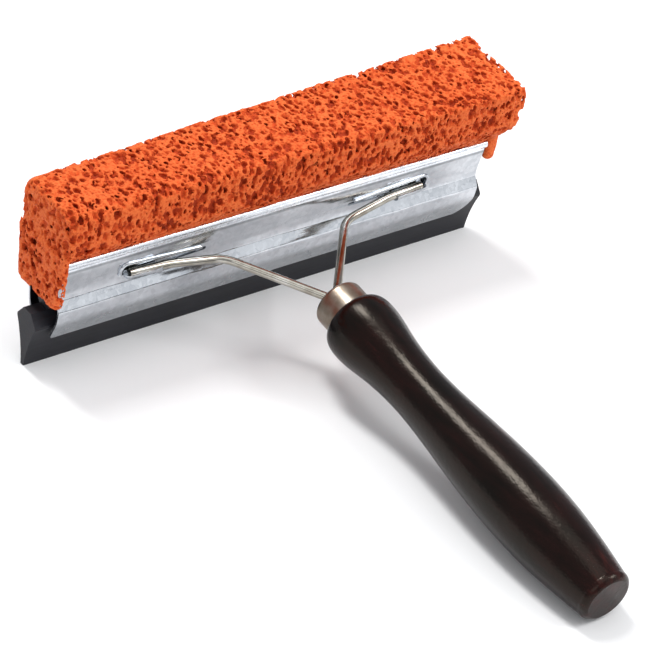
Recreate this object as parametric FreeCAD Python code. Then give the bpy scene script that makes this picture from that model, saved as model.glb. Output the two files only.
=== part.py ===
import FreeCAD
import Part
import math
import os

# A hand squeegee: a coarse sponge bar and a rubber blade share one pressed
# sheet-metal head, carried on a two-armed wire fork with a turned handle.
# Frame: +X along the blade, -Y towards the handle, +Z up. The tool stands on
# its blade edge and on the handle's belly, both at Z = 0, with the origin in
# the middle of its footprint. Shapes are made with Y = 0 at the head's middle
# plane and are moved to the footprint's middle last. All sizes are in mm.

# Driving dimensions: head
blade_length = 203.0
head_length = 190.0
spine_length = 186.0
spine_top = 40.6
sheet = 0.8
mouth_half = 9.6          # outer half-widths of the head, from the mouth down
waist_half = 7.8
ledge_half = 10.0
skirt_half = 9.3
lip_half = 5.9
bead_height = 46.8        # heights of the same bends
mouth_height = 43.4
waist_top = 34.2
waist_foot = 31.0
ledge_foot = 27.0
skirt_bend = 21.6
head_foot = 13.4
bead_radius = 1.8
skirt_corners = (2.2, 9.0)  # left, right
slot_inner = (33.0, 35.7, 0.8)    # tapered slots in the front plate: X, Z and radius
slot_outer = (66.2, 36.4, 2.8)
slot_rim = [(35.0, -8.5, 37.0), (69.4, -8.9, 39.9), (69.2, -8.1, 34.8)]
slot_rim_radius = 0.8
slot_rim_bend = 2.8

# Sponge bar, as it stands between the plates; sawn deeper and taller to the right
sponge_left = -97.0
sponge_right = 101.5
sponge_half = 18.3
sponge_half_left = 15.6
sponge_foot_half = 5.9
sponge_side_foot = 57.5
sponge_top_left = 71.8
sponge_top_right = (74.5, 78.0)    # front edge, back edge
sponge_gap = 0.2
cap_left = -98.6          # the left end is not pinched and spreads over the metal
cap_side = 14.8
cap_foot = 29.6
cap_round = 3.5
flap = (-11.0, -5.6, 36.8, 51.0)   # front, back, foot and top of a torn flap at the right

# Rubber blade; its bulb is trimmed to the head's length
edge_half = 0.9
flank_half = 2.9
flank_height = 10.5
shoulder_half = 5.9
shoulder_height = 18.6
shoulder_depth = 0.9
neck_half = 2.4
bulb_radius = 3.8
bulb_height = 26.9

# Wire fork: one rod, bent double inside the handle
wire_radius = 1.6
neck_half_gap = 1.75
neck_ahead = 2.5          # where the arms part, in front of the ferrule
tang_depth = 46.0
knee = (27.5, -13.2, 33.0)
slot_entry = (50.0, -9.9, 35.0)
wire_tip = (66.0, -9.1, 35.4)
gutter_start = 0.2        # along the straight end, as a share of its length
gutter_wall = 0.7

# Handle and ferrule, measured along the handle's axis from the head's middle
slope = math.radians(6.2)
ferrule_front = 47.0
ferrule_length = 10.0
ferrule_radius = 9.6
ferrule_wall = 0.9
ferrule_round = 1.8
handle_length = 148.4
butt_radius = 8.4
butt_round_start = (145.2, 10.3)
butt_round_middle = (147.5, 9.7)
# Turned profile: distance behind the ferrule and radius
profile = [(0.0, 9.9), (1.5, 12.3), (6.5, 13.6), (20.0, 12.1), (39.0, 10.5)]
profile += [(70.5, 12.5), (99.0, 14.1), (118.0, 13.6), (134.0, 11.9), butt_round_start]

X = FreeCAD.Vector(1, 0, 0)
Y = FreeCAD.Vector(0, 1, 0)
Z = FreeCAD.Vector(0, 0, 1)
ORIGIN = FreeCAD.Vector(0, 0, 0)


def vec(x, y, z):
    return FreeCAD.Vector(x, y, z)


def slab(x0, x1, y0, y1, z0, z1):
    return Part.makeBox(x1 - x0, y1 - y0, z1 - z0, vec(x0, y0, z0))


def line(a, b):
    return Part.LineSegment(a, b).toShape()


def rounded_path(points, radii):
    """Edges of a polyline whose inner corners are arcs of the given radii."""
    edges = []
    start = points[0]
    for before, corner, after, radius in zip(points, points[1:], points[2:], radii):
        back = (before - corner).normalize()
        ahead = (after - corner).normalize()
        half = back.getAngle(ahead) / 2
        centre = corner + (back + ahead).normalize() * (radius / math.sin(half))
        entry = corner + back * (radius / math.tan(half))
        leave = corner + ahead * (radius / math.tan(half))
        middle = centre + (corner - centre).normalize() * radius
        edges.append(line(start, entry))
        edges.append(Part.Arc(entry, middle, leave).toShape())
        start = leave
    edges.append(line(start, points[-1]))
    return edges


def sheet_section(points, radii, thickness):
    """Face of bent sheet in the YZ plane, from its outer line, top to bottom.

    The metal lies on the +Y side, and both faces of a bend share one centre.
    """
    normals = []
    for a, b in zip(points, points[1:]):
        run = (b - a).normalize()
        normals.append(vec(0, -run.z, run.y))
    inner = [points[0] + normals[0] * thickness]
    inner_radii = []
    for corner, n0, n1, radius in zip(points[1:], normals, normals[1:], radii):
        inner.append(corner + (n0 + n1) * (thickness / (1 + n0.dot(n1))))
        bends_in = n0.cross(n1).x < 0
        inner_radii.append(radius + thickness if bends_in else radius - thickness)
    inner.append(points[-1] + normals[-1] * thickness)
    edges = rounded_path(points, radii)
    edges.append(line(points[-1], inner[-1]))
    edges += rounded_path(inner[::-1], inner_radii[::-1])
    edges.append(line(inner[0], points[0]))
    return Part.Face(Part.Wire(edges))


# Plates: the front and back share one bent section with a rolled top bead

def plate_blank():
    outline = [
        vec(0, -mouth_half, bead_height),
        vec(0, -mouth_half, mouth_height),
        vec(0, -waist_half, waist_top),
        vec(0, -waist_half, waist_foot),
        vec(0, -ledge_half, ledge_foot),
        vec(0, -skirt_half, skirt_bend),
        vec(0, -lip_half, head_foot),
    ]
    section = sheet_section(outline, [14.0, 14.0, 1.4, 1.8, 14.0], sheet)
    section.translate(X * (-head_length / 2))
    plate = section.extrude(X * head_length)
    bead_centre = vec(-head_length / 2, -mouth_half + sheet / 2, bead_height)
    plate = plate.fuse(Part.makeCylinder(bead_radius, head_length, bead_centre, X))
    side = slab(-head_length / 2, head_length / 2, -20, 0, head_foot - 0.5, bead_height + 5)
    for end, radius in zip((-1, 1), skirt_corners):
        lower = [edge for edge in side.Edges if edge.BoundBox.XLength < 0.01]
        lower = [edge for edge in lower if edge.BoundBox.ZMax < head_foot]
        lower = [edge for edge in lower if edge.CenterOfMass.x * end > 0]
        side = side.makeFillet(radius, lower)
    return plate.common(side).removeSplitter()


def slot_cutter(side):
    corners = []
    ends = []
    for (x, z, radius), order in ((slot_inner, (-1, 1)), (slot_outer, (1, -1))):
        ends.append(Part.makeCylinder(radius, 14, vec(side * x, -20, z), Y))
        corners += [vec(side * x, -20, z + radius * up) for up in order]
    wedge = Part.Face(Part.makePolygon(corners + corners[:1])).extrude(Y * 14)
    return wedge.fuse(ends)


def rolled_rim(side):
    """Raised lip along the top of a slot and round its outer end."""
    points = [vec(side * x, y, z) for x, y, z in slot_rim]
    path = Part.Wire(rounded_path(points, [slot_rim_bend]))
    ring = Part.makeCircle(slot_rim_radius, points[0], points[1] - points[0])
    tube = path.makePipeShell([Part.Wire(ring)], True, False)
    return tube.fuse(Part.makeSphere(slot_rim_radius, points[0]))


def wire_gutter(side):
    """Rolled lip below a slot, which wraps the outer end of the wire."""
    entry = vec(side * slot_entry[0], slot_entry[1], slot_entry[2])
    end = vec(side * wire_tip[0], wire_tip[1], wire_tip[2])
    start = entry + (end - entry) * gutter_start
    run = end - start
    radius = wire_radius + gutter_wall
    shell = Part.makeCylinder(radius, run.Length, start, run)
    shell = shell.fuse(Part.makeSphere(radius, end))
    inside = -waist_half + sheet / 2
    keep = slab(-head_length, head_length, -20, inside, 0, end.z + 0.2)
    bore = Part.makeCylinder(wire_radius, run.Length * 2, entry, run)
    bore = bore.common(slab(-abs(end.x), abs(end.x), -20, 20, 0, 60))
    return shell.common(keep).cut(bore)


def front_plate():
    plate = plate_blank()
    for side in (-1, 1):
        plate = plate.cut(slot_cutter(side)).fuse([wire_gutter(side), rolled_rim(side)])
    return plate.removeSplitter()


def back_plate():
    return plate_blank().mirror(ORIGIN, Y)


# Spine: a channel spot-welded between the plates at their waist. Its flanges
# stand behind the slots and keep the sponge off the wires.

def spine():
    half = waist_half - sheet
    foot = waist_foot + 0.3
    channel = slab(-spine_length / 2, spine_length / 2, -half, half, foot, spine_top)
    inside = slab(-head_length, head_length, -half + sheet, half - sheet, foot + sheet, 60)
    return channel.cut(inside)


# Sponge: a bar whose tongue is pinched between the plates

def sponge_wire(x, half, top_front, top_back):
    mouth = mouth_half - sheet / 2 - bead_radius - sponge_gap
    bead_top = bead_height + bead_radius
    lower = [
        (sponge_foot_half, waist_foot + 0.3 + sheet),
        (sponge_foot_half, spine_top + sponge_gap),
        (mouth, spine_top + 2.0),
        (mouth, bead_top + sponge_gap),
        (mouth + 2 * bead_radius, bead_top + sponge_gap),
        (half, sponge_side_foot),
    ]
    back = [vec(x, y, z) for y, z in lower + [(half, top_back)]]
    front = [vec(x, -y, z) for y, z in [(half, top_front)] + lower[::-1]]
    return Part.makePolygon(back + front + back[:1])


def end_cap():
    inner = -head_length / 2 - sponge_gap
    cap = slab(cap_left, inner, -cap_side, cap_side, cap_foot, sponge_top_left)
    long_edges = [edge for edge in cap.Edges if edge.BoundBox.XLength > 1]
    return cap.makeFillet(cap_round, long_edges)


def sponge():
    left = sponge_wire(sponge_left, sponge_half_left, sponge_top_left, sponge_top_left)
    right = sponge_wire(sponge_right, sponge_half, *sponge_top_right)
    bar = Part.makeLoft([left, right], True, True).fuse(end_cap())
    torn = slab(head_length / 2 + sponge_gap, sponge_right, *flap)
    return bar.fuse(torn).removeSplitter()


# Rubber blade: a moulded strip with a bulb, two shoulders and a thin edge

def rubber_blade():
    def at(y, z):
        return vec(-blade_length / 2, y, z)

    neck_z = bulb_height - math.sqrt(bulb_radius ** 2 - neck_half ** 2)
    edges = [line(at(-edge_half, 0), at(edge_half, 0))]
    edges.append(line(at(neck_half, neck_z), at(-neck_half, neck_z)))
    for side in (-1, 1):
        flank = at(side * flank_half, flank_height)
        shoulder = at(side * shoulder_half, shoulder_height)
        top = at(side * shoulder_half, shoulder_height + shoulder_depth)
        edges.append(Part.Arc(at(side * edge_half, 0), flank, shoulder).toShape())
        edges.append(line(shoulder, top))
        edges.append(line(top, at(side * neck_half, neck_z)))
    body = Part.Face(Part.Wire(Part.__sortEdges__(edges))).extrude(X * blade_length)
    bulb_start = vec(-head_length / 2, 0, bulb_height)
    bulb = Part.makeCylinder(bulb_radius, head_length, bulb_start, X)
    return body.fuse(bulb).removeSplitter()


# Handle, ferrule and fork share an axis that slopes down from the head

def turned(edges):
    """Solid of revolution about the local handle axis, from edges in the XY plane."""
    face = Part.Face(Part.Wire(edges))
    return face.revolve(ORIGIN, Y, 360)


def local(radius, distance):
    return vec(radius, -distance, 0)


def handle_curve():
    curve = Part.BSplineCurve()
    start = ferrule_front + ferrule_length
    curve.interpolate([local(radius, start + along) for along, radius in profile])
    return curve


def lowest_reach(curve):
    """Drop of the handle's underside below the axis height at the head."""
    first, last = curve.FirstParameter, curve.LastParameter
    points = [curve.value(first + (last - first) * i / 400) for i in range(401)]
    return max(-p.y * math.sin(slope) + p.x * math.cos(slope) for p in points)


axis_height = lowest_reach(handle_curve())


def place(shape):
    """Tilt a shape made about the local handle axis into the tool's frame."""
    shape.rotate(ORIGIN, X, math.degrees(slope))
    shape.translate(Z * axis_height)
    return shape


def place_point(x, distance, rise):
    y = -distance * math.cos(slope) - rise * math.sin(slope)
    z = -distance * math.sin(slope) + rise * math.cos(slope)
    return vec(x, y, z + axis_height)


def ferrule():
    front, back = ferrule_front, ferrule_front + ferrule_length
    bend = ferrule_round * (1 - math.sqrt(0.5))
    inner = ferrule_radius - ferrule_wall
    corners = [local(0, front), local(ferrule_radius - ferrule_round, front)]
    edges = [line(corners[0], corners[1])]
    middle = local(ferrule_radius - bend, front + bend)
    round_end = local(ferrule_radius, front + ferrule_round)
    edges.append(Part.Arc(corners[1], middle, round_end).toShape())
    rest = [round_end, local(ferrule_radius, back), local(inner, back)]
    rest += [local(inner, front + ferrule_wall), local(0, front + ferrule_wall), corners[0]]
    edges += [line(a, b) for a, b in zip(rest, rest[1:])]
    cup = turned(edges)
    half = neck_half_gap + wire_radius + 0.7
    window = slab(-half, half, -back, -front + 1, -wire_radius - 0.2, wire_radius + 0.2)
    return place(cup.cut(window))


def handle():
    start = ferrule_front + ferrule_length
    spigot = ferrule_radius - ferrule_wall
    spigot_end = ferrule_front + ferrule_wall
    curve = handle_curve()
    side_end = local(butt_round_start[1], start + butt_round_start[0])
    middle = local(butt_round_middle[1], start + butt_round_middle[0])
    butt_edge = local(butt_radius, start + handle_length)
    butt_centre = local(0, start + handle_length)
    shoulder = local(profile[0][1], start)
    edges = [curve.toShape(), Part.Arc(side_end, middle, butt_edge).toShape()]
    rest = [butt_edge, butt_centre, local(0, spigot_end), local(spigot, spigot_end)]
    rest += [local(spigot, start), shoulder]
    edges += [line(a, b) for a, b in zip(rest, rest[1:])]
    body = turned(Part.__sortEdges__(edges))
    half = neck_half_gap + wire_radius + 0.2
    depth = ferrule_front + tang_depth
    pocket = slab(-half, half, -depth, -ferrule_front, -wire_radius, wire_radius)
    return place(body.cut(pocket))


def wire_fork():
    bottom = ferrule_front + tang_depth - wire_radius
    neck = place_point(neck_half_gap, ferrule_front - neck_ahead, 0)
    turn = place_point(neck_half_gap, bottom, 0)
    half_path = [vec(*wire_tip), vec(*slot_entry), vec(*knee), neck, turn]
    mirrored = [vec(-p.x, p.y, p.z) for p in reversed(half_path)]
    radii = [40.0, 13.0, 6.0, neck_half_gap - 0.01]
    path = Part.Wire(rounded_path(half_path + mirrored, radii + radii[::-1]))
    heading = half_path[1] - half_path[0]
    section = Part.Wire(Part.makeCircle(wire_radius, half_path[0], heading))
    rod = path.makePipeShell([section], True, False)
    stretch = rod.Volume / (math.pi * wire_radius ** 2 * path.Length)
    print("fork volume against section times length:", round(stretch, 4))
    return rod


parts = {
    "sponge_bar": sponge,
    "front_plate": front_plate,
    "back_plate": back_plate,
    "spine_channel": spine,
    "rubber_blade": rubber_blade,
    "wire_fork": wire_fork,
    "ferrule": ferrule,
    "handle": handle,
}

butt_distance = ferrule_front + ferrule_length + handle_length
butt_centre = place_point(0, butt_distance, 0)
butt_top = place_point(0, butt_distance, butt_radius)
footprint_shift = Y * (-(butt_top.y + sponge_half) / 2)

os.makedirs("parts", exist_ok=True)
print("axis height at the head:", round(axis_height, 3))
print("shift to the footprint's middle:", round(footprint_shift.y, 3))
print("butt centre:", [round(c, 3) for c in butt_centre + footprint_shift])
for node, make in parts.items():
    solid = make().Solids[0]
    solid.translate(footprint_shift)
    print(node, solid.isValid(), round(solid.Volume, 1), solid.BoundBox)
    solid.exportStep("parts/" + node + ".step")
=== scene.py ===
import math

import bpy
from mathutils import Matrix, Vector


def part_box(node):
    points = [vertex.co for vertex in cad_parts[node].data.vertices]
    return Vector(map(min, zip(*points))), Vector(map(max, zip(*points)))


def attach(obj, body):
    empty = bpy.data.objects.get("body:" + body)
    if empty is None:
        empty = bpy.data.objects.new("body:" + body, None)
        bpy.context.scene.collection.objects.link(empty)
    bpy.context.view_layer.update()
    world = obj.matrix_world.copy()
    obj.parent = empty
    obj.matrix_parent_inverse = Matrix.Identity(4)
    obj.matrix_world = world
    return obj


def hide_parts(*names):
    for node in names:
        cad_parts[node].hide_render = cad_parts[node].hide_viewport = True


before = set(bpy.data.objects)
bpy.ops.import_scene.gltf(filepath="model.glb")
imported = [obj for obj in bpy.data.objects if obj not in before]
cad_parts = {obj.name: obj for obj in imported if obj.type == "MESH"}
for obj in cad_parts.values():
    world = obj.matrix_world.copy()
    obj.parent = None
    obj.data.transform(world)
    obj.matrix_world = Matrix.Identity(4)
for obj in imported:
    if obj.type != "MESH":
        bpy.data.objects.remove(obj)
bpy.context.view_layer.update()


# ---------------------------------------------------------------- head plates and spine
# Two pressings of thin tinned steel and the shallow channel spot-welded between
# them at the waist. The tin froze in pale crystals, and rolling and pressing
# left fine lines along the sheet.

class Nodes:
    """Adds nodes to one tree and joins them, so that a material reads as a recipe."""

    def __init__(self, tree):
        self.tree = tree

    def add(self, kind, links=(), **settings):
        node = self.tree.nodes.new(kind)
        for name, value in settings.items():
            setattr(node, name, value)
        for socket, value in dict(links).items():
            self.feed(node.inputs[socket], value)
        return node

    def feed(self, socket, value):
        if isinstance(value, bpy.types.NodeSocket):
            self.tree.links.new(value, socket)
        else:
            socket.default_value = value

    def maths(self, operation, *values):
        node = self.add("ShaderNodeMath", operation=operation)
        for socket, value in zip(node.inputs, values):
            self.feed(socket, value)
        return node.outputs[0]

    def vector_maths(self, operation, links):
        return self.add("ShaderNodeVectorMath", links, operation=operation).outputs[0]

    def add_share(self, base, value, share):
        """The base with a share of another value added to it."""
        return self.maths("MULTIPLY_ADD", value, share, base)

    def spread(self, value, low, high):
        """Maps 0..1 onto low..high."""
        return self.add_share(low, value, high - low)

    def rise(self, value, low, high):
        """Goes from 0 to 1 while the value goes from low to high."""
        links = {"Value": value, "From Min": low, "From Max": high}
        return self.add("ShaderNodeMapRange", links).outputs[0]

    def ramp(self, factor, tones):
        """The colour at a place along tones, which are places with their linear colours."""
        node = self.add("ShaderNodeValToRGB", {"Fac": factor})
        node.color_ramp.elements[0].position = tones[0][0]
        node.color_ramp.elements[1].position = tones[-1][0]
        for position, _ in tones[1:-1]:
            node.color_ramp.elements.new(position)
        for element, (_, colour) in zip(node.color_ramp.elements, tones):
            element.color = (*colour, 1.0)
        return node.outputs["Color"]

    def bump(self, height, strength, distance, over=None):
        """A normal that a height tilts, laid over another bump where one is given."""
        links = {"Height": height, "Strength": strength, "Distance": distance}
        if over is not None:
            links["Normal"] = over
        return self.add("ShaderNodeBump", links).outputs["Normal"]


def new_material(name):
    """A material, the recipe that its nodes are added by, and its Principled shader."""
    material = bpy.data.materials.new(name)
    material.use_nodes = True
    recipe = Nodes(material.node_tree)
    shader = material.node_tree.nodes["Principled BSDF"]
    return material, recipe, shader


def object_mapping(recipe, scale):
    """Object coordinates, stretched along an axis by a scale below 1."""
    place = recipe.add("ShaderNodeTexCoord").outputs["Object"]
    return recipe.add("ShaderNodeMapping", {"Vector": place, "Scale": scale}).outputs[0]


def noise(recipe, vector, scale, detail=3.0, roughness=0.55):
    links = {"Vector": vector, "Scale": scale, "Detail": detail, "Roughness": roughness}
    return recipe.add("ShaderNodeTexNoise", links).outputs["Fac"]


# Heights where the sheet's painted shade, painted highlight and roughness change, in metres: each
# change starts and is done
SKIRT_END = (0.0195, 0.0225)
WAIST = (0.029, 0.033)
CREASE = (0.0424, 0.0430)
BEAD = (0.0437, 0.0443)

CRYSTALS_PER_METRE = 620.0
TIN_TONES = [
    (0.25, (0.50, 0.53, 0.57)),
    (0.55, (0.66, 0.69, 0.73)),
    (0.8, (0.80, 0.83, 0.87)),
]


def tinned_sheet():
    material, recipe, shader = new_material("tinned_sheet")
    even = object_mapping(recipe, (1, 1, 1))
    rolled = object_mapping(recipe, (0.06, 1, 1))
    pressed = object_mapping(recipe, (0.22, 1, 1))
    cells = recipe.add("ShaderNodeTexVoronoi", {"Vector": even, "Scale": CRYSTALS_PER_METRE})
    crystal = recipe.add("ShaderNodeSeparateColor", {"Color": cells.outputs["Color"]}).outputs
    roll_lines = noise(recipe, rolled, scale=2600.0, detail=4.0)
    cloud = noise(recipe, even, scale=55.0)
    tone = recipe.add_share(recipe.spread(cloud, low=0.0, high=0.78), crystal[0], share=0.22)
    colour = recipe.ramp(tone, TIN_TONES)

    # Wet rubber dulled the skirt, so it is rougher, and the bead is a little rougher too. The tin's
    # colour is scaled by painted light: painted shade on the skirt, above the waist and in the
    # crease below the rolled bead, and a painted highlight on the bead itself
    height = recipe.add("ShaderNodeSeparateXYZ", {0: even}).outputs[2]
    skirt_end = recipe.rise(height, *SKIRT_END)
    bead = recipe.rise(height, *BEAD)
    crease = recipe.maths("SUBTRACT", recipe.rise(height, *CREASE), bead)
    # The skirt is painted darker: painted shade
    painted_light = recipe.spread(skirt_end, low=0.58, high=0.91)
    # The walls above the waist are painted a little darker: painted shade
    painted_light = recipe.add_share(painted_light, recipe.rise(height, *WAIST), share=-0.10)
    # The rolled bead is painted lighter: a painted highlight
    painted_light = recipe.add_share(painted_light, bead, share=0.45)
    # The crease below the bead is painted darker: painted shade
    painted_light = recipe.add_share(painted_light, crease, share=-0.34)
    tin_with_painted_light = recipe.vector_maths("SCALE", {0: colour, "Scale": painted_light})
    recipe.feed(shader.inputs["Base Color"], tin_with_painted_light)
    shader.inputs["Metallic"].default_value = 1.0

    skirt_haze = recipe.spread(skirt_end, low=0.08, high=0.0)
    haze = recipe.maths("ADD", skirt_haze, recipe.spread(bead, low=0.0, high=0.10))
    rough = recipe.maths("ADD", recipe.spread(crystal[1], low=0.12, high=0.20), haze)
    recipe.feed(shader.inputs["Roughness"], rough)

    waves = noise(recipe, pressed, scale=105.0, detail=2.0)
    uneven = recipe.bump(waves, strength=0.8, distance=0.0016)
    faceted = recipe.bump(crystal[2], strength=0.08, distance=0.0002, over=uneven)
    lined = recipe.bump(roll_lines, strength=0.12, distance=0.0002, over=faceted)
    recipe.feed(shader.inputs["Normal"], lined)
    return material


def coat(node, material):
    """Gives a CAD piece its finish, in every slot that it came with."""
    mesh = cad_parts[node].data
    if not mesh.materials:
        mesh.materials.append(material)
    for index in range(len(mesh.materials)):
        mesh.materials[index] = material


sheet_finish = tinned_sheet()
for plate in ("spine_channel", "back_plate", "front_plate"):
    coat(plate, sheet_finish)


# ---------------------------------------------------------------- rubber blade
# A moulded strip of soft black rubber, slid endwise into the head. Its sides are
# satin from the mould, with a dry bloom and fine drag lines along them.

RUBBER_TONES = [
    (0.3, (0.006, 0.006, 0.009)),
    (0.7, (0.018, 0.018, 0.024)),
]


def blade_rubber():
    material, recipe, shader = new_material("blade_rubber")
    even = object_mapping(recipe, (1, 1, 1))
    dragged = object_mapping(recipe, (0.05, 1, 1))
    bloom = noise(recipe, even, scale=120.0, detail=5.0)
    lines = noise(recipe, dragged, scale=900.0)
    tone = recipe.add_share(recipe.spread(bloom, low=0.0, high=0.65), lines, share=0.35)
    recipe.feed(shader.inputs["Base Color"], recipe.ramp(tone, RUBBER_TONES))
    recipe.feed(shader.inputs["Roughness"], recipe.spread(bloom, low=0.42, high=0.62))
    shader.inputs["Specular IOR Level"].default_value = 0.3
    pores = noise(recipe, even, scale=1500.0, detail=2.0)
    fine = recipe.bump(pores, strength=0.10, distance=0.0001)
    lined = recipe.bump(lines, strength=0.12, distance=0.0003, over=fine)
    recipe.feed(shader.inputs["Normal"], lined)
    return material


coat("rubber_blade", blade_rubber())


# ---------------------------------------------------------------- sponge bar
# A sawn bar of coarse open-cell foam. The plates pinch its foot, which springs
# out past their left end, and a torn flap of skin hangs past their right end.
# The cells were stretched upwards when the foam rose, and the saw opened them.

MM = 0.001

SPONGE_SIZES = {
    # Millimetres, unless a name says otherwise. X runs along the head, Y is measured
    # from the bar's middle and Z from the floor. A gain is what the bar's right end
    # has more than its left end
    "Bar start": -97.0,
    "Bar half depth": 15.8,
    "Bar half depth gain": 2.7,
    "Bar top": 71.9,
    "Bar top gain": 4.4,
    "Edge blend": 9.0,
    "Left face": -98.2,
    "Right face overhang": 0.9,
    "Right face undercut from": 68.0,
    "Right face undercut": 4.4,
    # The foot between the plates, and its mouth at their beads
    "Foot half depth": 5.6,
    "Foot bottom": 32.6,
    "Foot top": 53.0,
    "Mouth bottom": 41.0,
    "Mouth widening": 1.3,
    # The foot's free left end
    "Free end half depth": 12.4,
    "Free end bottom": 30.0,
    "Free end top": 54.0,
    "Free end inner face": -95.5,
    "Free end overhang": 0.4,
    # The torn flap
    "Flap X": 98.0,
    "Flap Y": -8.8,
    "Flap half length": 2.2,
    "Flap half depth": 1.9,
    "Flap bottom": 38.6,
    "Flap top": 52.0,
    # The cells, and how far below the sawn face they are open
    "Coarse cell": 3.0,
    "Coarse depth": 1.7,
    "Fine cell": 1.7,
    "Fine depth": 1.0,
    "Cells closer along X, times": 1.45,
    "Cells closer along Z, times": 0.85,
    "Seed, a plain number": 3.0,
    # The volume that the mesh is made from
    "Voxel": 0.42,
    "Smallest island, in points": 20000.0,
}


class Field:
    """A number that varies through space, built from Geometry Nodes by arithmetic."""

    def __init__(self, recipe, value):
        self.recipe = recipe
        self.value = value

    def apply(self, operation, *others):
        values = [o.value if isinstance(o, Field) else o for o in others]
        return Field(self.recipe, self.recipe.maths(operation, self.value, *values))

    def __add__(self, other):
        return self.apply("ADD", other)

    def __sub__(self, other):
        return self.apply("SUBTRACT", other)

    def __mul__(self, other):
        return self.apply("MULTIPLY", other)

    def magnitude(self):
        return self.apply("ABSOLUTE")

    def least(self, other, blend=0.0):
        return self.apply("SMOOTH_MIN", other, blend) if blend else self.apply("MINIMUM", other)

    def most(self, other, blend=0.0):
        return self.apply("SMOOTH_MAX", other, blend) if blend else self.apply("MAXIMUM", other)

    def within(self, low, high):
        return self.most(low).least(high)


def sawn_bar(x, y, z, size):
    """Distance to the outside of the bar above the beads, without its two ends."""
    side = y.magnitude()
    share_per_mm = 0.00504
    along = (x - size["Bar start"]) * share_per_mm
    half = along * size["Bar half depth gain"] + size["Bar half depth"]
    top_lean = 0.095
    top = along * (y * top_lean + size["Bar top gain"]) + size["Bar top"]
    # The underside slants down and inwards onto the beads
    slant_y, slant_z, slant_reach = 0.757, 0.653, 23.9
    under = side * slant_y - z * slant_z + slant_reach
    # The top edges are rounder to the left
    left_roundness, right_loss = 1.1, -0.85
    edge = size["Edge blend"] * (along * right_loss + left_roundness)
    return (side - half).most(z - top, edge).most(under, blend=2.5)


def pinched_foot(y, z, size):
    """Distance to the outside of the foot, which widens in the mouth of the plates."""
    mouth_slope = 0.8
    widening = ((z - size["Mouth bottom"]) * mouth_slope).within(0.0, size["Mouth widening"])
    side = y.magnitude() - (widening + size["Foot half depth"])
    return side.most(size["Foot bottom"] - z).most(z - size["Foot top"])


def free_left_end(x, y, z, size, left):
    """Distance to the foot past the plates' left end, where it has nearly its own width."""
    widening_slope = 0.11
    above = z - size["Free end bottom"]
    side = y.magnitude() - above * widening_slope - size["Free end half depth"]
    section = side.most(size["Free end bottom"] - z, blend=5.0).most(z - size["Free end top"])
    outer = (x - left + size["Free end overhang"]) * -1.0
    return section.most(x - size["Free end inner face"], blend=0.6).most(outer, blend=3.0)


def sponge_skin(x, y, z, size, left, right):
    """Distance to the bar's outside, negative within, before its cells are opened."""
    section = sawn_bar(x, y, z, size).least(pinched_foot(y, z, size), blend=0.6)
    undercut_slope = 0.24
    undercut = ((size["Right face undercut from"] - z) * undercut_slope).most(0.0)
    undercut = undercut.least(size["Right face undercut"], blend=2.0)
    right_face = x - right - size["Right face overhang"] + undercut
    left_face = size["Left face"] - x
    bar = section.most(right_face, blend=1.2).most(left_face, blend=4.0)
    return bar.least(free_left_end(x, y, z, size, left), blend=1.5)


def torn_flap(x, y, z, size):
    """Distance to the outside of the flap of skin."""
    across = (y - size["Flap Y"]).magnitude() - size["Flap half depth"]
    lengthwise = (x - size["Flap X"]).magnitude() - size["Flap half length"]
    section = across.most(lengthwise, blend=2.5)
    return section.most(size["Flap bottom"] - z, blend=3.5).most(z - size["Flap top"])


def open_cells(recipe, in_mm, skin, size):
    """Opens two sizes of cell in the skin, each to its own depth."""
    along_x, along_z = (size[f"Cells closer along {axis}, times"].value for axis in "XZ")
    times = recipe.add("ShaderNodeCombineXYZ", {0: along_x, 1: 1.0, 2: along_z}).outputs[0]
    squeezed = recipe.vector_maths("MULTIPLY", {0: in_mm, 1: times})

    def cells(spacing, depth, reach, swing, seed_step):
        links = {
            "Vector": squeezed,
            "W": (size["Seed, a plain number"] + seed_step).value,
            "Scale": recipe.maths("DIVIDE", 1.0, spacing.value),
        }
        node = recipe.add("ShaderNodeTexVoronoi", links, voronoi_dimensions="4D")
        colour = recipe.add("ShaderNodeSeparateXYZ", {0: node.outputs["Color"]})
        chance = Field(recipe, colour.outputs[0])
        hollow = (chance * swing + reach - Field(recipe, node.outputs["Distance"])) * spacing
        return hollow.least(skin + depth)

    coarse = cells(size["Coarse cell"], size["Coarse depth"], reach=0.37, swing=0.22, seed_step=0.0)
    fine = cells(size["Fine cell"], size["Fine depth"], reach=0.38, swing=0.20, seed_step=7.0)
    return skin.most(coarse, blend=0.2).most(fine, blend=0.15)


def foam_mesh(recipe, foam, size, low, high):
    """The mesh around the foam, without the crumbs that the saw would have cut loose."""
    # The density falls by half a unit in a millimetre, and the foam's surface is at 0.5
    surface = 0.5
    density = (foam * -0.5 + surface).within(0.0, 1.0)
    room_around = Vector((8.0, 8.0, 8.0))
    lowest, highest = low - room_around, high + room_around
    counts = [recipe.maths("DIVIDE", b - a, size["Voxel"].value) for a, b in zip(lowest, highest)]
    cube = recipe.add("GeometryNodeVolumeCube", {
        "Density": density.value,
        "Min": lowest * MM,
        "Max": highest * MM,
        "Resolution X": counts[0],
        "Resolution Y": counts[1],
        "Resolution Z": counts[2],
    })
    links = {"Volume": cube.outputs[0], "Threshold": surface, "Adaptivity": 0.0}
    mesh = recipe.add("GeometryNodeVolumeToMesh", links).outputs[0]
    island = recipe.add("GeometryNodeInputMeshIsland").outputs["Island Index"]
    points = recipe.add("GeometryNodeAccumulateField", {"Value": 1.0, "Group ID": island})
    links = {0: points.outputs["Total"], 1: size["Smallest island, in points"].value}
    crumb = recipe.add("FunctionNodeCompare", links, operation="LESS_THAN").outputs[0]
    return recipe.add("GeometryNodeDeleteGeometry", {0: mesh, 1: crumb}).outputs[0]


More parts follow.
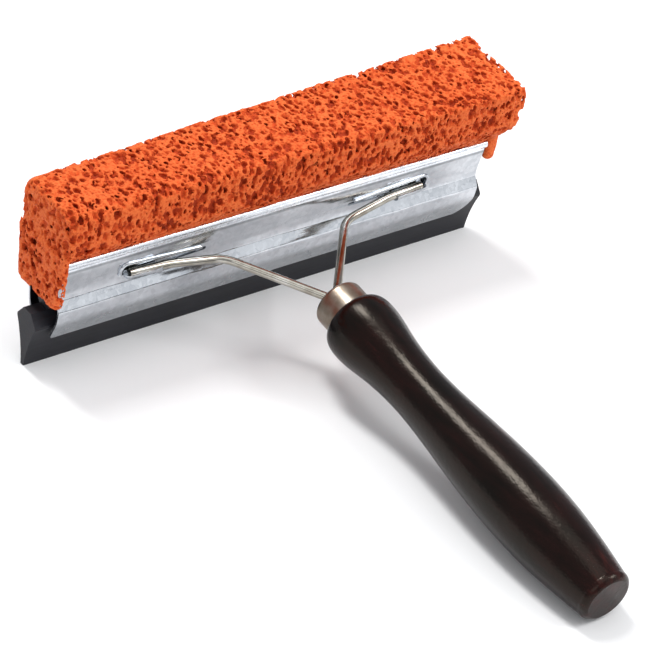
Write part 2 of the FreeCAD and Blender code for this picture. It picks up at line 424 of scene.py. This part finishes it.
def sponge_tree(material):
    """The bar as a field of distances, which becomes a volume and then a mesh."""
    tree = bpy.data.node_groups.new("open_cell_sponge", "GeometryNodeTree")
    tree.interface.new_socket("Geometry", in_out="OUTPUT", socket_type="NodeSocketGeometry")
    for name, value in SPONGE_SIZES.items():
        socket = tree.interface.new_socket(name, in_out="INPUT", socket_type="NodeSocketFloat")
        socket.default_value = value
    recipe = Nodes(tree)
    size = {s.name: Field(recipe, s) for s in recipe.add("NodeGroupInput").outputs if s.name}

    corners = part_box("sponge_bar")
    middle = sum(corner.y for corner in corners) / 2
    low, high = (Vector([c / MM for c in corner]) for corner in corners)
    place = recipe.add("GeometryNodeInputPosition").outputs[0]
    centred = recipe.vector_maths("SUBTRACT", {0: place, 1: (0, middle, 0)})
    in_mm = recipe.vector_maths("SCALE", {0: centred, "Scale": 1 / MM})
    axes = recipe.add("ShaderNodeSeparateXYZ", {0: in_mm}).outputs
    x, y, z = (Field(recipe, axis) for axis in axes)

    def wobble(scale, seed):
        """Smooth random waves, from about -0.5 to 0.5."""
        links = {"Vector": in_mm, "W": seed, "Scale": scale, "Detail": 2.0}
        node = recipe.add("ShaderNodeTexNoise", links, noise_dimensions="4D")
        return Field(recipe, node.outputs[0]) - 0.5

    # The saw wandered, the bar sagged and the skin tore: each by a few tenths of a millimetre
    drift = wobble(scale=0.035, seed=1.0) * 1.5
    drift = drift + wobble(scale=0.16, seed=2.0) * 0.9
    drift = drift + wobble(scale=0.5, seed=3.0) * 0.5
    skin = sponge_skin(x, y, z, size, low.x, high.x) + drift
    flap = torn_flap(x, y, z, size) + drift
    foam = open_cells(recipe, in_mm, skin, size).least(flap, blend=0.8)
    mesh = foam_mesh(recipe, foam, size, low, high)

    # The colour is painted darker with the depth below the sawn face, down to 4 mm: painted shade
    # in the pits
    share_of_depth = -0.25
    stored = recipe.add("GeometryNodeStoreNamedAttribute", {
        "Geometry": mesh,
        "Name": "pit_depth",
        "Value": (skin * share_of_depth).within(0.0, 1.0).value,
    }, data_type="FLOAT", domain="POINT")
    smooth = recipe.add("GeometryNodeSetShadeSmooth", {0: stored.outputs[0]})
    realised = recipe.add("GeometryNodeRealizeInstances", {0: smooth.outputs[0]})
    painted = recipe.add("GeometryNodeSetMaterial", {0: realised.outputs[0], "Material": material})
    recipe.add("NodeGroupOutput", {0: painted.outputs[0]})
    return tree


# Foam colours, from the sawn face to the painted shade deep in the pits
FOAM_TONES = [
    (0.14, (0.80, 0.165, 0.038)),
    (0.30, (0.65, 0.086, 0.013)),
    (0.54, (0.46, 0.045, 0.006)),
    (0.92, (0.17, 0.013, 0.003)),
]


def sponge_foam():
    material, recipe, shader = new_material("sponge_foam")
    even = object_mapping(recipe, (1, 1, 1))
    depth = recipe.add("ShaderNodeAttribute", attribute_name="pit_depth").outputs["Fac"]
    speckle = noise(recipe, even, scale=900.0, detail=4.0, roughness=0.7)
    patches = noise(recipe, even, scale=28.0, detail=2.0)
    pores = recipe.add("ShaderNodeTexVoronoi", {"Vector": even, "Scale": 850.0})
    web = recipe.rise(pores.outputs["Distance"], low=0.1, high=0.5)
    # Painted shade deepens with pit depth; patches and speckle vary the foam's own tone
    shade = recipe.add_share(depth, patches, share=0.14)
    shade = recipe.add_share(shade, speckle, share=0.34)
    # The finest pores are painted darker than the webs between them: painted shade
    painted_pore_shade = 0.12
    shade = recipe.maths("ADD", shade, painted_pore_shade)
    shade = recipe.add_share(shade, web, share=-0.16)
    recipe.feed(shader.inputs["Base Color"], recipe.ramp(shade, FOAM_TONES))
    shader.inputs["Roughness"].default_value = 0.78
    shader.inputs["Specular IOR Level"].default_value = 0.25
    grain = recipe.bump(noise(recipe, even, scale=1900.0), strength=0.35, distance=0.0004)
    pitted = recipe.bump(web, strength=0.55, distance=0.0005, over=grain)
    lumps = noise(recipe, even, scale=800.0)
    lumpy = recipe.bump(lumps, strength=0.45, distance=0.0006, over=pitted)
    recipe.feed(shader.inputs["Normal"], lumpy)
    return material


def make_from_tree(name, tree, values):
    """A plain mesh object from a Geometry Nodes tree and the values of its inputs."""
    mesh = bpy.data.meshes.new(name)
    piece = bpy.data.objects.new(name, mesh)
    bpy.context.scene.collection.objects.link(piece)
    modifier = piece.modifiers.new("build", "NODES")
    modifier.node_group = tree
    for item in tree.interface.items_tree:
        if item.in_out == "INPUT" and item.name in values:
            modifier[item.identifier] = values[item.name]
    evaluated = piece.evaluated_get(bpy.context.evaluated_depsgraph_get())
    built = bpy.data.meshes.new_from_object(evaluated)
    piece.modifiers.remove(modifier)
    piece.data = built
    built.name = name
    bpy.data.meshes.remove(mesh)
    return piece


sponge = make_from_tree("sponge_foam_bar", sponge_tree(sponge_foam()), SPONGE_SIZES)
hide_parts("sponge_bar")
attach(sponge, "tool")


# ---------------------------------------------------------------- wire fork
# One drawn steel rod, plated, bent double inside the handle. Each arm lies in a
# slot of the front plate, and the rolled lip below the slot wraps its end.

WIRE_TONES = [
    (0.3, (0.24, 0.21, 0.17)),
    (0.55, (0.42, 0.40, 0.35)),
    (0.75, (0.58, 0.57, 0.54)),
]


def plated_wire():
    material, recipe, shader = new_material("plated_wire")
    even = object_mapping(recipe, (1, 1, 1))
    cloud = noise(recipe, even, scale=140.0, detail=4.0)
    recipe.feed(shader.inputs["Base Color"], recipe.ramp(cloud, WIRE_TONES))
    shader.inputs["Metallic"].default_value = 1.0
    recipe.feed(shader.inputs["Roughness"], recipe.spread(cloud, low=0.10, high=0.26))
    marks = recipe.bump(noise(recipe, even, scale=700.0), strength=0.12, distance=0.0002)
    recipe.feed(shader.inputs["Normal"], marks)
    return material


coat("wire_fork", plated_wire())


# ---------------------------------------------------------------- ferrule
# A small drawn cup of dull nickelled steel on the handle's spigot, with the
# brown tint that the plating takes on, and faint rings from the draw.

NICKEL_TONES = [
    (0.3, (0.22, 0.13, 0.09)),
    (0.5, (0.27, 0.22, 0.17)),
    (0.75, (0.38, 0.34, 0.29)),
]


def nickelled_cup():
    material, recipe, shader = new_material("nickelled_cup")
    even = object_mapping(recipe, (1, 1, 1))
    drawn = object_mapping(recipe, (0.05, 1, 0.05))
    cloud = noise(recipe, even, scale=160.0, detail=4.0)
    recipe.feed(shader.inputs["Base Color"], recipe.ramp(cloud, NICKEL_TONES))
    shader.inputs["Metallic"].default_value = 1.0
    recipe.feed(shader.inputs["Roughness"], recipe.spread(cloud, low=0.26, high=0.42))
    rings = noise(recipe, drawn, scale=2200.0, detail=2.0)
    fine = recipe.bump(noise(recipe, even, scale=900.0), strength=0.15, distance=0.0002)
    ringed = recipe.bump(rings, strength=0.15, distance=0.0002, over=fine)
    recipe.feed(shader.inputs["Normal"], ringed)
    return material


coat("ferrule", nickelled_cup())


# ---------------------------------------------------------------- handle
# Turned hardwood under one thick coat of near-black lacquer. The grain shows
# through as streaks, and red-brown where the lacquer is thin.

LACQUER_TONES = [
    (0.4, (0.003, 0.002, 0.002)),
    (0.58, (0.010, 0.003, 0.003)),
    (0.75, (0.045, 0.008, 0.007)),
]


def lacquered_wood():
    material, recipe, shader = new_material("lacquered_wood")
    even = object_mapping(recipe, (1, 1, 1))
    streaked = object_mapping(recipe, (1, 0.12, 1))
    grain = noise(recipe, streaked, scale=420.0, detail=5.0, roughness=0.6)
    patches = noise(recipe, even, scale=30.0)
    thin = recipe.add_share(recipe.spread(patches, low=0.0, high=0.55), grain, share=0.45)
    recipe.feed(shader.inputs["Base Color"], recipe.ramp(thin, LACQUER_TONES))
    recipe.feed(shader.inputs["Roughness"], recipe.spread(grain, low=0.10, high=0.28))
    shader.inputs["Specular IOR Level"].default_value = 0.21
    shader.inputs["Specular Tint"].default_value = (1.0, 0.88, 0.74, 1.0)
    pores = noise(recipe, even, scale=1300.0, detail=2.0)
    pored = recipe.bump(pores, strength=0.4, distance=0.0002)
    peel = noise(recipe, even, scale=420.0)
    peeled = recipe.bump(peel, strength=0.15, distance=0.0005, over=pored)
    grained = recipe.bump(grain, strength=0.12, distance=0.0004, over=peeled)
    recipe.feed(shader.inputs["Normal"], grained)
    return material


coat("handle", lacquered_wood())


# ---------------------------------------------------------------- studio
# A pale floor and five soft lights: a narrow one above and behind, broad ones on
# the right and overhead, one that the rolled bead mirrors, and a weak one on the
# left in front.

FORK = (0, 0.05, 0)
HANDLE = (0, 0, 0)


def soft_light(name, place, aim, width, height, power):
    light = bpy.data.lights.new(name, "AREA")
    light.shape = "RECTANGLE"
    light.size = width
    light.size_y = height
    light.energy = power
    lamp = bpy.data.objects.new(name, light)
    lamp.location = place
    lamp.rotation_euler = (Vector(aim) - Vector(place)).to_track_quat("-Z", "Y").to_euler()
    bpy.context.scene.collection.objects.link(lamp)


def pale_floor():
    material, _, shader = new_material("pale_floor")
    shader.inputs["Base Color"].default_value = (0.92, 0.92, 0.92, 1)
    shader.inputs["Roughness"].default_value = 0.9
    mesh = bpy.data.meshes.new("floor")
    reach = 6.0
    corners = [(-reach, -reach, 0), (reach, -reach, 0), (reach, reach, 0), (-reach, reach, 0)]
    mesh.from_pydata(corners, [], [(0, 1, 2, 3)])
    mesh.materials.append(material)
    floor = bpy.data.objects.new("floor", mesh)
    bpy.context.scene.collection.objects.link(floor)


def studio_camera():
    """A long lens from the left, in front and above, rolled so that the tool leans right."""
    head_y = sum(corner.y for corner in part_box("rubber_blade")) / 2
    aim = Vector((-0.01485, head_y - 0.05917, 0.030))
    azimuth, elevation, roll = (math.radians(a) for a in (-42.24, 36.15, 10.12))
    distance = 1.0620
    flat = math.cos(elevation)
    away = Vector((math.sin(azimuth) * flat, -math.cos(azimuth) * flat, math.sin(elevation)))
    level = Vector((math.cos(azimuth), math.sin(azimuth), 0))
    upright = away.cross(level)
    right = level * math.cos(roll) + upright * math.sin(roll)
    camera = bpy.data.objects.new("camera", bpy.data.cameras.new("camera"))
    turn = Matrix((right, away.cross(right), away)).transposed().to_4x4()
    camera.matrix_world = Matrix.Translation(aim + away * distance) @ turn
    camera.data.sensor_width = 36.0
    camera.data.lens = 166.0
    camera.data.clip_end = 50.0
    bpy.context.scene.collection.objects.link(camera)
    bpy.context.scene.camera = camera


def studio_world():
    world = bpy.data.worlds.new("studio")
    world.use_nodes = True
    background = world.node_tree.nodes["Background"]
    background.inputs["Color"].default_value = (0.86, 0.88, 0.92, 1)
    background.inputs["Strength"].default_value = 0.5
    bpy.context.scene.world = world


pale_floor()
soft_light("top_light", place=(-0.1, 0.75, 1.5), aim=FORK, width=0.3, height=0.7, power=17)
soft_light("right_light", place=(1.05, -1.45, 0.95), aim=FORK, width=1.8, height=1.8, power=6)
soft_light("bead_light", place=(0.9, -0.66, 1.22), aim=FORK, width=0.6, height=0.5, power=9)
soft_light("fill_light", place=(0.1, -0.4, 1.9), aim=HANDLE, width=1.6, height=1.6, power=9)
soft_light("front_light", place=(-1.3, -0.9, 1.1), aim=HANDLE, width=0.9, height=0.9, power=3)
studio_world()
studio_camera()
bpy.context.scene.view_settings.view_transform = "Standard"
